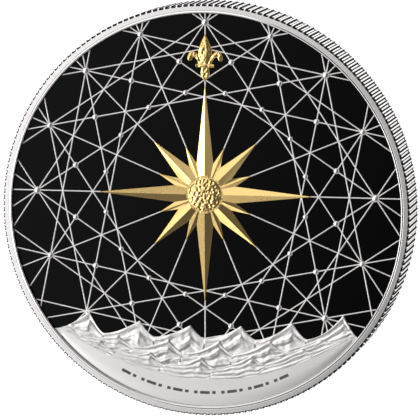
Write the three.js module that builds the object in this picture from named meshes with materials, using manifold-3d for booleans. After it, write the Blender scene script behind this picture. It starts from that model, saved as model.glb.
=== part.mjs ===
// A two-ounce silver collector's coin, in millimetres, +Z up.
// It lies on its reverse. The origin is the centre of its underside, and +Y is the top of its picture.
// The face has a black field with a silver net of chart lines, a gilt compass rose with its
// fleur-de-lis, and a frosted silver sea along the bottom.

import * as THREE from 'three';
import { mergeVertices } from 'three/addons/utils/BufferGeometryUtils.js';
import Module from 'manifold-3d';

const wasm = await Module();
wasm.setup();

// Driving dimensions of the struck piece
const coinRadius = 20;
const coinThickness = 5.4;
const reedCount = 206;
const reedDepth = 0.14;
const edgeBevel = 0.18;
const fieldRadius = 19.08;
const lipRun = 0.24;
const fieldGap = 0.02;
const faceDepth = 0.5;
const reverseDepth = 0.3;
const roundSegments = reedCount / 2;
const flatTolerance = 1e-4;

// Heights of what stands on the face, each measured from what it stands on
const blackThickness = 0.04;
const lineHeight = 0.1;
const lineWidth = 0.18;
const beadSide = 0.12;
const beadHeight = 0.2;
const roseEdge = 0.12;
const cardinalPeak = 0.38;
const ordinalPeak = 0.33;
const lesserPeak = 0.28;
const hubFlat = 0.26;
const bossHeight = 0.17;
const fleurHeight = 0.26;
const seaGroundHeight = 0.16;
const seaRowHeight = 0.12;
const markDepth = 0.08;

// The chart: sixteen points of the compass round the rose's centre
const winds = 16;
const chartCentreY = 1.6;
const chartRadius = 16.6;
const chordStep = 5;
const lineEndRadius = fieldRadius - 0.15;
const lineGap = 0.06;
const largeBead = 0.33;
const smallBead = 0.27;
const beadTop = 0.5;
const beadSides = 6;

// The rose
const cardinalLength = 10.6;
const ordinalLength = 7.2;
const lesserLength = 4.9;
const cardinalWaist = 1.45;
const ordinalWaist = 1.55;
const lesserWaist = 1.8;
const hubRadius = 1.8;
const hubSegments = 32;
const bossRadius = 1.65;
const bossRings = 4;

// The fleur-de-lis stands on the tip of the north point
const fleurFootY = 12.55;
const fleurLength = 4.5;
const fleurHalfWidth = 1.75;
const fleurShapeHalfWidth = 0.39;

// The sea: troughs of the first row, and the line under which the silver is smooth
const troughY = -12.5;
const troughRise = 0.6;
const exergueY = -16.5;
const exergueRise = 5.1;
const seaHalfWidth = 15;
const rowHalfWidth = 13.9;
const crestLength = seaHalfWidth / 3;
const crestSteps = 14;
const crestSkew = 10 / crestSteps;
const risePower = 1.7;
const fallPower = 1.5;
const seaStep = crestLength / crestSteps;
const seaArcSteps = 26;
const footStep = 2;

// Small incuse marks along the smooth edge, like a chart's scale
const markCount = 19;
const markRadius = 17.75;
const markSpan = THREE.MathUtils.degToRad(52);
const longMark = new THREE.Vector2(0.95, 0.42);
const shortMark = new THREE.Vector2(0.34, 0.42);

// The reverse
const reverseReliefHeight = 0.2;
const reverseStarRadius = 13.5;
const reverseStarWaist = 6.4;
const reverseStarEdge = 0.05;
const reverseRingInner = 15.4;
const reverseRingOuter = 16.2;
const ringSegments = 48;

// Levels above the ground
const faceFieldZ = coinThickness - faceDepth;
const reliefZ = faceFieldZ + blackThickness;

const colours = {
  silver: new THREE.MeshStandardMaterial({ color: 0xdcdcda, roughness: 0.18, metalness: 1 }),
  frosted: new THREE.MeshStandardMaterial({ color: 0xe4e3e0, roughness: 0.48, metalness: 1 }),
  black: new THREE.MeshStandardMaterial({ color: 0x0b0b0d, roughness: 0.2, metalness: 0 }),
  gilt: new THREE.MeshStandardMaterial({ color: 0xe0b45c, roughness: 0.28, metalness: 1 }),
};

// A closed geometry as a solid that can be joined and cut
function solidOf(geometry) {
  const bare = geometry.clone();
  bare.deleteAttribute('normal');
  bare.deleteAttribute('uv');
  const merged = mergeVertices(bare, 1e-5);
  return new wasm.Manifold(new wasm.Mesh({
    numProp: 3,
    vertProperties: new Float32Array(merged.attributes.position.array),
    triVerts: new Uint32Array(merged.index.array),
  }));
}

// The surface of a joined or cut solid, without the needless corners that joins leave on its flat faces
function geometryOf(solid) {
  const mesh = solid.asOriginal().simplify(flatTolerance).getMesh();
  const geometry = new THREE.BufferGeometry();
  geometry.setAttribute('position', new THREE.Float32BufferAttribute(mesh.vertProperties, 3));
  geometry.setIndex(new THREE.Uint32BufferAttribute(mesh.triVerts, 1));
  geometry.computeVertexNormals();
  return geometry;
}

function joined(solids) {
  return solids.reduce((whole, next) => whole.add(next));
}

function subPart(name, geometry, material) {
  const mesh = new THREE.Mesh(geometry, material);
  mesh.name = name;
  return mesh;
}

// A profile of [radius, height] pairs turned about +Z
function turned(profile, segments = roundSegments) {
  const points = profile.map(([radius, height]) => new THREE.Vector2(radius, height));
  return new THREE.LatheGeometry(points, segments).rotateX(Math.PI / 2);
}

// A flat plate with a drawn outline, standing on z = 0
function plate(shape, height, curveSegments = 6) {
  return new THREE.ExtrudeGeometry(shape, { depth: height, bevelEnabled: false, curveSegments });
}

// The outline of the reeded edge, a ridge and a groove for each reed
function reedOutline() {
  const points = [];
  for (let i = 0; i < 2 * reedCount; i += 1) {
    const angle = (Math.PI * i) / reedCount;
    const radius = coinRadius - (i % 2) * reedDepth;
    points.push(new THREE.Vector2(radius * Math.cos(angle), radius * Math.sin(angle)));
  }
  return new THREE.Shape(points);
}

// The hollow that leaves a rim round a field. Its mouth opens towards +Z.
function recess(depth) {
  const mouth = fieldRadius + lipRun;
  return turned([[0, 0], [fieldRadius, 0], [mouth, depth], [mouth, 2 * depth], [0, 2 * depth]]);
}

function blankGeometry() {
  const reeded = solidOf(plate(reedOutline(), coinThickness));
  const wide = coinRadius + edgeBevel;
  const flat = coinRadius - edgeBevel;
  const envelope = solidOf(turned([
    [0, 0],
    [flat, 0],
    [wide, 2 * edgeBevel],
    [wide, coinThickness - 2 * edgeBevel],
    [flat, coinThickness],
    [0, coinThickness],
  ]));
  const front = solidOf(recess(faceDepth).translate(0, 0, faceFieldZ));
  const back = solidOf(recess(reverseDepth).rotateX(Math.PI).translate(0, 0, reverseDepth));
  return geometryOf(reeded.intersect(envelope).subtract(front).subtract(back));
}

// A star whose points have a ridge and two slopes, on a low vertical edge
function facetedStar(points, tipRadius, waistRadius, edgeHeight, peakHeight, turn = 0) {
  const profile = [[0, 0], [tipRadius, 0], [tipRadius, edgeHeight], [0, peakHeight]];
  const star = turned(profile, 2 * points);
  const position = star.attributes.position;
  const waistShare = waistRadius / tipRadius;
  for (let i = 0; i < position.count; i += 1) {
    const angle = Math.atan2(position.getY(i), position.getX(i));
    const spoke = Math.round((angle * points) / Math.PI);
    if (Math.abs(spoke % 2) === 1) {
      position.setXY(i, position.getX(i) * waistShare, position.getY(i) * waistShare);
    }
  }
  return star.rotateZ(turn);
}

// The three stars of the rose, made wider by a margin and, for a cutting tool, with flat tops
function roseStars(margin = 0, flatTop = 0) {
  const step = (2 * Math.PI) / winds;
  const edge = flatTop || roseEdge;
  return [
    facetedStar(8, lesserLength + margin, lesserWaist + margin, edge, flatTop || lesserPeak, step),
    facetedStar(4, ordinalLength + margin, ordinalWaist + margin, edge, flatTop || ordinalPeak, 2 * step),
    facetedStar(4, cardinalLength + margin, cardinalWaist + margin, edge, flatTop || cardinalPeak),
  ];
}

// The stars are cut flat round their middle, where the boss sits
function roseSolid() {
  const hub = turned([[0, 0], [hubRadius, 0], [hubRadius, hubFlat], [0, hubFlat]], hubSegments);
  const above = cardinalPeak - hubFlat;
  const seat = turned([[0, 0], [hubRadius, 0], [hubRadius, above], [0, above]], hubSegments);
  return joined([...roseStars(), hub].map(solidOf)).subtract(solidOf(seat.translate(0, 0, hubFlat)));
}

function bossGeometry() {
  const profile = [[0, 0], [bossRadius, 0]];
  for (let i = 1; i < bossRings; i += 1) {
    const lean = (Math.PI / 2) * (i / bossRings);
    profile.push([bossRadius * Math.cos(lean), bossHeight * Math.sin(lean)]);
  }
  return turned([...profile, [0, bossHeight]], hubSegments);
}

// The fleur-de-lis, one unit long from foot to tip and drawn about its own foot
function fleurShapes() {
  const middle = new THREE.Shape();
  middle.moveTo(0, 0.2);
  middle.bezierCurveTo(0.1, 0.42, 0.3, 0.5, 0, 1);
  middle.bezierCurveTo(-0.3, 0.5, -0.1, 0.42, 0, 0.2);
  const foot = new THREE.Shape();
  foot.moveTo(-0.08, 0.34);
  foot.bezierCurveTo(-0.1, 0.18, -0.14, 0.1, 0, 0);
  foot.bezierCurveTo(0.14, 0.1, 0.1, 0.18, 0.08, 0.34);
  const band = new THREE.Shape();
  band.moveTo(-0.2, 0.29);
  band.lineTo(0.2, 0.29);
  band.lineTo(0.2, 0.37);
  band.lineTo(-0.2, 0.37);
  const petals = [-1, 1].map((side) => {
    const petal = new THREE.Shape();
    petal.moveTo(side * 0.05, 0.33);
    petal.bezierCurveTo(side * 0.1, 0.62, side * 0.34, 0.76, side * 0.39, 0.5);
    petal.bezierCurveTo(side * 0.4, 0.43, side * 0.33, 0.4, side * 0.28, 0.45);
    petal.bezierCurveTo(side * 0.27, 0.58, side * 0.17, 0.46, side * 0.13, 0.33);
    return petal;
  });
  return [middle, foot, band, ...petals];
}

function fleurSolid(growth, height) {
  const pieces = fleurShapes().map((shape) => {
    const piece = plate(shape, height, 5).translate(0, -0.5, 0);
    piece.scale((fleurHalfWidth / fleurShapeHalfWidth) * growth, fleurLength * growth, 1);
    return solidOf(piece.translate(0, fleurFootY + fleurLength / 2, 0));
  });
  return joined(pieces);
}

// A thin bar from one point to another, standing on z = 0
function lineBar(from, to) {
  const along = to.clone().sub(from);
  const bar = new THREE.BoxGeometry(along.length(), lineWidth, lineHeight);
  bar.rotateZ(along.angle());
  const middle = from.clone().add(to).multiplyScalar(0.5);
  return bar.translate(middle.x, middle.y, lineHeight / 2);
}

// How far along a ray from a point the edge of the field lies
function reachFrom(point, direction) {
  const along = point.dot(direction);
  return -along + Math.sqrt(along ** 2 - point.lengthSq() + lineEndRadius ** 2);
}

function windDirection(steps) {
  const angle = Math.PI / 2 - (2 * Math.PI * steps) / winds;
  return new THREE.Vector2(Math.cos(angle), Math.sin(angle));
}

function chartPoint(steps) {
  return windDirection(steps).multiplyScalar(chartRadius).add(new THREE.Vector2(0, chartCentreY));
}

// Straight lines through every two points that are a given number of winds apart, run out to the edge
function chordBars(step) {
  const bars = [];
  for (let i = 0; i < winds; i += 1) {
    const from = chartPoint(i);
    const to = chartPoint(i + step);
    const direction = to.clone().sub(from).normalize();
    const back = direction.clone().negate();
    const start = from.clone().addScaledVector(back, reachFrom(from, back));
    const end = to.clone().addScaledVector(direction, reachFrom(to, direction));
    bars.push(lineBar(start, end));
  }
  return bars;
}

// Rays along every other wind, from the rose's points out, and north from the top of the fleur-de-lis
function windBars() {
  const centre = new THREE.Vector2(0, chartCentreY);
  const bars = [];
  for (let i = 0; i < winds; i += 2) {
    const direction = windDirection(i);
    const pointLength = i % 4 ? ordinalLength : cardinalLength;
    const start = lineGap + (i ? pointLength : fleurFootY + fleurLength - chartCentreY);
    const from = centre.clone().addScaledVector(direction, start);
    bars.push(lineBar(from, centre.clone().addScaledVector(direction, reachFrom(centre, direction))));
  }
  return bars;
}

// Each bead covers a crossing, with an upright side that is taller than the lines
function bead(place, radius) {
  const profile = [[0, 0], [radius, 0], [radius, beadSide], [beadTop * radius, beadHeight], [0, beadHeight]];
  return turned(profile, beadSides).translate(place.x, place.y, 0);
}

function beads() {
  return Array.from({ length: winds }, (_, i) => bead(chartPoint(i), i % 2 ? smallBead : largeBead));
}

// The height of the sea's troughs, between its first row (0) and the smooth edge (1)
function troughLine(x, share) {
  const across = (x / seaHalfWidth) ** 2;
  const top = troughY + troughRise * across;
  const bottom = exergueY + exergueRise * across;
  return top + share * (bottom - top);
}

// A crest that rises slowly from the left and falls steeply on the right, from 0 to 1
function crest(x, phase) {
  const along = x / crestLength + phase;
  const part = along - Math.floor(along);
  return part < crestSkew ? (part / crestSkew) ** risePower : ((1 - part) / (1 - crestSkew)) ** fallPower;
}

// Each row's place between the troughs and the smooth edge, the shift of its crests and their height
// in the middle and at the ends
const groundRow = { share: 0, phase: 0, middle: 1.3, end: 2.3 };
const middleRow = { share: 0.38, phase: 6 / crestSteps, middle: 1.35, end: 0.1 };
const frontRow = { share: 0.72, phase: 11 / crestSteps, middle: 1.1, end: 0.1 };

function rowTop(row, x) {
  const across = (x / rowHalfWidth) ** 2;
  const height = row.middle + (row.end - row.middle) * across;
  return troughLine(x, row.share) + height * crest(x, row.phase);
}

// Points along the top of a row, with one on the tip of each crest
function rowPoints(row, halfWidth) {
  const points = [];
  const count = Math.floor(halfWidth / seaStep);
  for (let i = -count; i <= count; i += 1) {
    points.push(new THREE.Vector2(i * seaStep, rowTop(row, i * seaStep)));
  }
  return points;
}

// The first row fills the bottom of the field down to its round edge
function seaGroundShape(radius) {
  const top = rowPoints(groundRow, seaHalfWidth).filter((point) => point.length() < radius);
  const shape = new THREE.Shape(top);
  shape.absarc(0, 0, radius, top[top.length - 1].angle(), top[0].angle(), true);
  return shape;
}

// A row in front ends along the smooth edge
function seaRowShape(row) {
  const top = rowPoints(row, rowHalfWidth);
  const under = top.filter((_, i) => i % footStep === 0).reverse();
  const foot = under.map(({ x }) => new THREE.Vector2(x, troughLine(x, 1)));
  return new THREE.Shape([...top, ...foot]);
}

// The marks cut into the smooth edge, a long one after each two short ones
function incuseMarks() {
  const marks = [];
  for (let i = 0; i < markCount; i += 1) {
    const lean = markSpan * (i / (markCount - 1) - 0.5);
    const size = i % 3 === 0 ? longMark : shortMark;
    const mark = new THREE.BoxGeometry(size.x, size.y, 2 * markDepth);
    mark.translate(0, -markRadius, seaGroundHeight);
    marks.push(solidOf(mark.rotateZ(lean)));
  }
  return joined(marks);
}

function seaGroundSolid() {
  const ground = solidOf(plate(seaGroundShape(fieldRadius - fieldGap), seaGroundHeight, seaArcSteps));
  return ground.subtract(incuseMarks());
}

// What the lines stop short of: the rose, the fleur-de-lis and the sea, each a little wider than it is
function keptClear() {
  const tall = 4 * lineHeight;
  const stars = roseStars(lineGap, tall).map(solidOf);
  const rose = joined(stars).translate([0, chartCentreY, 0]);
  const fleur = fleurSolid(1 + (2 * lineGap) / fleurHalfWidth, tall);
  const sea = solidOf(plate(seaGroundShape(coinRadius), tall, seaArcSteps)).translate([0, lineGap, 0]);
  return joined([rose, fleur, sea]).translate([0, 0, -lineHeight]);
}

// Beads that would be cut are left out, and so are ends of lines that the sea parts from the rest
function netSolid() {
  const clear = keptClear();
  const lines = joined([...windBars(), ...chordBars(chordStep)].map(solidOf)).subtract(clear);
  const [net] = lines.decompose().sort((one, other) => other.volume() - one.volume());
  const whole = beads().map(solidOf).filter((ball) => ball.intersect(clear).isEmpty());
  return joined([net, ...whole]);
}

function reverseSide() {
  const side = new THREE.Group();
  side.rotation.x = Math.PI;
  side.position.z = reverseDepth;
  const star = facetedStar(winds, reverseStarRadius, reverseStarWaist, reverseStarEdge, reverseReliefHeight);
  const ring = turned([
    [reverseRingInner, 0],
    [reverseRingOuter, 0],
    [reverseRingOuter, reverseReliefHeight],
    [reverseRingInner, reverseReliefHeight],
    [reverseRingInner, 0],
  ], ringSegments);
  side.add(subPart('reverse_star', star, colours.frosted));
  side.add(subPart('reverse_ring', ring, colours.frosted));
  return side;
}

function blackField() {
  const edge = fieldRadius - fieldGap;
  const disc = turned([[0, 0], [edge, 0], [edge, blackThickness], [0, blackThickness]]);
  const field = subPart('black_field', disc, colours.black);
  field.position.z = faceFieldZ;
  return field;
}

function rose() {
  const group = new THREE.Group();
  group.position.y = chartCentreY;
  const boss = subPart('hub_boss', bossGeometry(), colours.gilt);
  boss.position.z = hubFlat;
  group.add(subPart('compass_rose', geometryOf(roseSolid()), colours.gilt), boss);
  return group;
}

function sea() {
  const group = new THREE.Group();
  const middle = subPart('sea_middle_row', plate(seaRowShape(middleRow), seaRowHeight), colours.frosted);
  const front = subPart('sea_front_row', plate(seaRowShape(frontRow), seaRowHeight), colours.frosted);
  middle.position.z = seaGroundHeight;
  front.position.z = seaGroundHeight + seaRowHeight;
  group.add(subPart('sea_ground', geometryOf(seaGroundSolid()), colours.frosted), middle, front);
  return group;
}

function picture() {
  const group = new THREE.Group();
  group.position.z = reliefZ;
  group.add(subPart('line_net', geometryOf(netSolid()), colours.silver));
  group.add(subPart('fleur_de_lis', geometryOf(fleurSolid(1, fleurHeight)), colours.gilt));
  group.add(rose(), sea());
  return group;
}

const coin = new THREE.Group();
coin.add(subPart('blank', blankGeometry(), colours.silver));
coin.add(reverseSide(), blackField(), picture());

export default coin;
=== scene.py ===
"""A silver collector's coin with a black field, a net of chart lines and a gilt compass rose.

The coin lies on its reverse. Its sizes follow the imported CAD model, which is loaded first.
"""

import math

import bmesh
import bpy
from mathutils import Matrix, Vector, noise


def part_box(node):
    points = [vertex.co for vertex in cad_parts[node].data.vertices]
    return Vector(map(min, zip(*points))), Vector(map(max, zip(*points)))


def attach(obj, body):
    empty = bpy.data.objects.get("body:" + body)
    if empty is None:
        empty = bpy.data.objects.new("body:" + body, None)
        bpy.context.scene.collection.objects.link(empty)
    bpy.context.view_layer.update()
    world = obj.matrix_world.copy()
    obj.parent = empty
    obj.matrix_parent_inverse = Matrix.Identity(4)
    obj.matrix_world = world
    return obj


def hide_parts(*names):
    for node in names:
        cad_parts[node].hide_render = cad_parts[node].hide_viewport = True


bl_info = {
    "name": "Silver Collector's Coin",
    "version": (1, 0, 0),
    "blender": (4, 5, 0),
    "location": "View3D > Sidebar > Coin",
    "description": "Makes a struck silver coin with a chart net, a gilt compass rose and a frosted sea",
    "category": "Add Mesh",
}

MM = 0.001
FULL_TURN = 2 * math.pi
WINDS = 16

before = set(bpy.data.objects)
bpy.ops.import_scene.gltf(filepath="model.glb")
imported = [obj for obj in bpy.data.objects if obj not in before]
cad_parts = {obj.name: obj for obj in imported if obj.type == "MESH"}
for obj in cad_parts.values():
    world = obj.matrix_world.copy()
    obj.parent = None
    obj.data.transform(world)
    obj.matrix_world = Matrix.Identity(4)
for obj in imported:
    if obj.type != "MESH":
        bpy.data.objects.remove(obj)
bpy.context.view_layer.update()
blank_low, blank_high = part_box("blank")
plating_low, plating_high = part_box("black_field")
rose_low, rose_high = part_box("compass_rose")

COIN_RADIUS = blank_high[0]
COIN_THICKNESS = blank_high[2]
FIELD_Z = plating_low[2]
RELIEF_Z = plating_high[2]
ROSE_CENTRE_Y = (rose_low[1] + rose_high[1]) / 2

# Edges that are rounded off all over the coin, and gaps that keep one solid off another
SOFT = 0.03 * MM
GAP = 0.02 * MM

# Blender joins and cuts solids well at about this many times the coin's real size
WORK_SCALE = 1 / MM

# The outline of the sea: its first troughs, its foot, and how far both rise towards the sides
SEA_HALF_WIDTH = 15 * MM
SEA_TOP = -12.5 * MM
SEA_TOP_RISE = 0.6 * MM
SEA_FOOT = -16.5 * MM
SEA_FOOT_RISE = 5.1 * MM

# Three rows of waves. A row starts at a share of the way down the sea, is shifted by a phase, and its
# crests have one height in the middle and another at the row's ends
ROW_HALF_WIDTH = 13.9 * MM
CREST_LENGTH = SEA_HALF_WIDTH / 3
CREST_STEPS = 14
CREST_SKEW = 10 / CREST_STEPS
GROUND_ROW = {"share": 0.0, "phase": 0.0, "middle": 1.3 * MM, "end": 2.3 * MM}
MIDDLE_ROW = {"share": 0.38, "phase": 6 / CREST_STEPS, "middle": 1.35 * MM, "end": 0.1 * MM}
FRONT_ROW = {"share": 0.72, "phase": 11 / CREST_STEPS, "middle": 1.1 * MM, "end": 0.1 * MM}


# Sizes and colours that a user would change

class BlankSizes(bpy.types.PropertyGroup):
    """Sizes of the struck silver blank"""

    field_radius: bpy.props.FloatProperty(
        name="Field radius", description="Radius of the sunk field inside the rim",
        default=19.08 * MM, unit="LENGTH", precision=5)
    lip_width: bpy.props.FloatProperty(
        name="Lip width", description="Width of the round lip between the field and the flat rim",
        default=0.21 * MM, unit="LENGTH", precision=5)
    bevel: bpy.props.FloatProperty(
        name="Bevel", description="Width of the bevel between the rim and the reeded edge",
        default=0.15 * MM, unit="LENGTH", precision=5)
    groove_depth: bpy.props.FloatProperty(
        name="Rim groove", description="Depth of the fine groove between the lip and the flat rim",
        default=0.045 * MM, unit="LENGTH", precision=5)
    lip_lean: bpy.props.FloatProperty(
        name="Lip lean", description="How far the lip's ridge leans to the field: 1 is the middle",
        default=1.4, min=1, max=3)
    reverse_depth: bpy.props.FloatProperty(
        name="Reverse depth", description="Depth of the field on the reverse",
        default=0.3 * MM, unit="LENGTH", precision=5)
    reeds: bpy.props.IntProperty(
        name="Reeds", description="Number of reeds round the edge", default=206, min=3)
    reed_columns: bpy.props.IntProperty(
        name="Columns per reed", description="Columns of faces in each reed", default=10, min=4)
    reed_depth: bpy.props.FloatProperty(
        name="Reed depth", description="Depth of the grooves between the reeds",
        default=0.12 * MM, unit="LENGTH", precision=5)
    # Painted shade: how far from each face the grooves are painted dark all across
    painted_shade_end: bpy.props.FloatProperty(
        name="Dark end", description="How far a groove is dark all across from each face of the coin",
        default=0.5 * MM, unit="LENGTH", precision=5)


class ChartSizes(bpy.types.PropertyGroup):
    """Sizes of the net of chart lines and its beads"""

    node_radius: bpy.props.FloatProperty(
        name="Node radius", description="Radius of the circle of sixteen outer crossings",
        default=16.6 * MM, unit="LENGTH", precision=5)
    end_radius: bpy.props.FloatProperty(
        name="End radius", description="Distance from the coin's centre at which the lines end",
        default=19.12 * MM, unit="LENGTH", precision=5)
    line_width: bpy.props.FloatProperty(
        name="Line width", description="Width of a line at its foot",
        default=0.14 * MM, unit="LENGTH", precision=5)
    line_height: bpy.props.FloatProperty(
        name="Line height", description="Height of a line above the black field",
        default=0.07 * MM, unit="LENGTH", precision=5)
    large_bead: bpy.props.FloatProperty(
        name="Large bead", description="Radius of the beads on the main winds",
        default=0.41 * MM, unit="LENGTH", precision=5)
    bead_height: bpy.props.FloatProperty(
        name="Bead height", description="Height of a bead as a share of its radius",
        default=0.68, min=0.1, max=1.0)


class RoseSizes(bpy.types.PropertyGroup):
    """Sizes of the gilt compass rose, its hub and the lily at its north"""

    cardinal_length: bpy.props.FloatProperty(
        name="Cardinal points", description="Length of the four main points",
        default=10.6 * MM, unit="LENGTH", precision=5)
    ordinal_length: bpy.props.FloatProperty(
        name="Ordinal points", description="Length of the four points between them",
        default=7.2 * MM, unit="LENGTH", precision=5)
    lesser_length: bpy.props.FloatProperty(
        name="Lesser points", description="Length of the eight small points",
        default=4.9 * MM, unit="LENGTH", precision=5)
    cardinal_waist: bpy.props.FloatProperty(
        name="Cardinal waist", description="Distance from the middle to the notches between the main points",
        default=1.45 * MM, unit="LENGTH", precision=5)
    ordinal_waist: bpy.props.FloatProperty(
        name="Ordinal waist", description="The same for the four points between them",
        default=1.55 * MM, unit="LENGTH", precision=5)
    lesser_waist: bpy.props.FloatProperty(
        name="Lesser waist", description="The same for the eight small points",
        default=1.8 * MM, unit="LENGTH", precision=5)
    cardinal_ridge: bpy.props.FloatProperty(
        name="Cardinal ridge", description="Height of the main points' ridges in the middle",
        default=0.44 * MM, unit="LENGTH", precision=5)
    ordinal_ridge: bpy.props.FloatProperty(
        name="Ordinal ridge", description="The same for the four points between them",
        default=0.38 * MM, unit="LENGTH", precision=5)
    lesser_ridge: bpy.props.FloatProperty(
        name="Lesser ridge", description="The same for the eight small points",
        default=0.33 * MM, unit="LENGTH", precision=5)
    edge_height: bpy.props.FloatProperty(
        name="Edge height", description="Height of the upright edge all round the rose",
        default=0.12 * MM, unit="LENGTH", precision=5)
    edge_bevel: bpy.props.FloatProperty(
        name="Edge bevel", description="Width to which the ridges and edges are rounded off",
        default=0.02 * MM, unit="LENGTH", precision=5)
    seat_height: bpy.props.FloatProperty(
        name="Seat height", description="Height of the flat seat in the middle",
        default=0.26 * MM, unit="LENGTH", precision=5)
    hub_radius: bpy.props.FloatProperty(
        name="Hub radius", description="Radius of the flat seat in the middle",
        default=1.8 * MM, unit="LENGTH", precision=5)
    dome_radius: bpy.props.FloatProperty(
        name="Dome radius", description="Radius of the hammered dome on the seat",
        default=1.65 * MM, unit="LENGTH", precision=5)
    dome_height: bpy.props.FloatProperty(
        name="Dome height", description="Height of the dome above its foot",
        default=0.17 * MM, unit="LENGTH", precision=5)
    hammer_pitch: bpy.props.FloatProperty(
        name="Hammer pitch", description="Distance between hammer marks",
        default=0.3 * MM, unit="LENGTH", precision=5)
    hammer_depth: bpy.props.FloatProperty(
        name="Hammer depth", description="Depth of a hammer mark",
        default=0.06 * MM, unit="LENGTH", precision=5)


class SeaSizes(bpy.types.PropertyGroup):
    """Sizes of the frosted sea and of the smooth edge under it"""

    columns: bpy.props.IntProperty(
        name="Columns", description="Columns of faces across the sea", default=420, min=40)
    rows: bpy.props.IntProperty(
        name="Rows", description="Rows of faces in each row of waves", default=44, min=8)
    furrows: bpy.props.FloatProperty(
        name="Furrows", description="Number of furrows that follow each wave", default=3.4)
    furrow_depth: bpy.props.FloatProperty(
        name="Furrow depth", description="Depth of the furrows",
        default=0.05 * MM, unit="LENGTH", precision=5)
    marks: bpy.props.IntProperty(
        name="Marks", description="Number of marks cut along the smooth edge", default=19, min=2)
    mark_radius: bpy.props.FloatProperty(
        name="Mark radius", description="Radius of the arc on which the marks lie",
        default=17.75 * MM, unit="LENGTH", precision=5)
    mark_span: bpy.props.FloatProperty(
        name="Mark span", description="Angle between the first and the last mark",
        default=math.radians(52), subtype="ANGLE")
    mark_length: bpy.props.FloatProperty(
        name="Mark length", description="Length of a long mark",
        default=0.95 * MM, unit="LENGTH", precision=5)
    mark_width: bpy.props.FloatProperty(
        name="Mark width", description="Width of a mark",
        default=0.28 * MM, unit="LENGTH", precision=5)
    short_mark: bpy.props.FloatProperty(
        name="Short mark", description="Length of a short mark as a share of a long one",
        default=0.34 / 0.95, min=0, max=1)
    mark_depth: bpy.props.FloatProperty(
        name="Mark depth", description="Depth of the marks",
        default=0.08 * MM, unit="LENGTH", precision=5)


class Finishes(bpy.types.PropertyGroup):
    """Colours of the coin's finishes"""

    silver: bpy.props.FloatVectorProperty(
        name="Silver", description="Colour of the polished silver",
        subtype="COLOR", default=(0.95, 0.922, 0.918), min=0, max=1)
    frosted: bpy.props.FloatVectorProperty(
        name="Frosted silver", description="Colour of the frosted silver",
        subtype="COLOR", default=(0.955, 0.925, 0.918), min=0, max=1)
    black: bpy.props.FloatVectorProperty(
        name="Black", description="Colour of the black plating",
        subtype="COLOR", default=(0.0003, 0.0003, 0.0004), min=0, max=1)
    # Painted shade: the near-black colour painted on the reeds' groove slopes and groove ends, in place of
    # their shade and dark reflections
    groove: bpy.props.FloatVectorProperty(
        name="Groove", description="Colour of the dull grooves in the reeded edge",
        subtype="COLOR", default=(0.004, 0.004, 0.004), min=0, max=1)
    gold: bpy.props.FloatVectorProperty(
        name="Gold", description="Colour of the gilding",
        subtype="COLOR", default=(0.96, 0.68, 0.27), min=0, max=1)


class StageSettings(bpy.types.PropertyGroup):
    """Camera and lights"""

    lens: bpy.props.FloatProperty(
        name="Lens", description="Focal length of the camera in millimetres", default=350)
    distance: bpy.props.FloatProperty(
        name="Distance", description="Distance from the camera to the coin's face",
        default=0.393, unit="LENGTH")
    key_power: bpy.props.FloatProperty(
        name="Key light", description="Power of the key light on the left", default=1.5, unit="POWER")
    sky_light: bpy.props.FloatProperty(
        name="Bright side", description="Strength of the surround towards the upper left", default=1.18)
    sky_dark: bpy.props.FloatProperty(
        name="Dim side", description="Strength of the surround towards the lower right", default=0.12)
    sky_low: bpy.props.FloatProperty(
        name="Low surround", description="Strength of the surround near the horizon, the same all round",
        default=0.6)
    shade_start: bpy.props.FloatProperty(
        name="Shade start", description="How far to the upper left of the zenith the dim side ends",
        default=0.08)
    shade_end: bpy.props.FloatProperty(
        name="Shade end", description="How far to the upper left of the zenith the bright side begins",
        default=0.205)


# Small tools for meshes

def mesh_object(name, points, faces, materials, face_materials=None):
    """An object at the origin whose mesh has the given points, in metres, and faces."""
    mesh = bpy.data.meshes.new(name)
    mesh.from_pydata([tuple(point) for point in points], [], faces)
    for material in materials:
        mesh.materials.append(material)
    if face_materials:
        mesh.polygons.foreach_set("material_index", face_materials)
    piece = bpy.data.objects.new(name, mesh)
    bpy.context.scene.collection.objects.link(piece)
    return piece


def tidy_mesh(mesh, merge=0.0005 * MM):
    """Merge doubled points, drop faces without area and turn every face outwards.

    With a merge of 0 the faces are only turned.
    """
    work = bmesh.new()
    work.from_mesh(mesh)
    if merge > 0:
        bmesh.ops.remove_doubles(work, verts=work.verts, dist=merge)
        bmesh.ops.dissolve_degenerate(work, edges=work.edges, dist=merge)
    bmesh.ops.recalc_face_normals(work, faces=work.faces)
    work.to_mesh(mesh)
    work.free()


def shade(piece, sharp_angle):
    """Shade smoothly, apart from edges that turn by more than an angle in degrees."""
    piece.data.shade_smooth()
    piece.data.set_sharp_from_angle(angle=math.radians(sharp_angle))


def settle(piece):
    """Turn a piece's modifiers into plain mesh, without empty material slots."""
    bpy.context.view_layer.update()
    evaluated = piece.evaluated_get(bpy.context.evaluated_depsgraph_get())
    mesh = bpy.data.meshes.new_from_object(evaluated)
    for slot in reversed(range(len(mesh.materials))):
        if mesh.materials[slot] is None:
            mesh.materials.pop(index=slot)
    piece.modifiers.clear()
    old = piece.data
    piece.data = mesh
    mesh.name = piece.name
    bpy.data.meshes.remove(old)


def hand_over(piece, slot, *nodes):
    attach(piece, "root")
    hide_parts(*nodes)


def turned(profile, columns):
    """Points and faces of a profile of (radius, height) pairs turned about +Z, with a pole at radius 0."""
    points = []
    rings = []
    for radius, height in profile:
        first = len(points)
        if radius == 0:
            points.append((0, 0, height))
            rings.append([first] * columns)
            continue
        for column in range(columns):
            angle = FULL_TURN * column / columns
            points.append((radius * math.cos(angle), radius * math.sin(angle), height))
        rings.append(range(first, first + columns))
    faces = []
    for lower, upper in zip(rings, rings[1:]):
        for column in range(columns):
            after = (column + 1) % columns
            corners = (lower[column], lower[after], upper[after], upper[column])
            faces.append(list(dict.fromkeys(corners)))
    return points, faces


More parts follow.
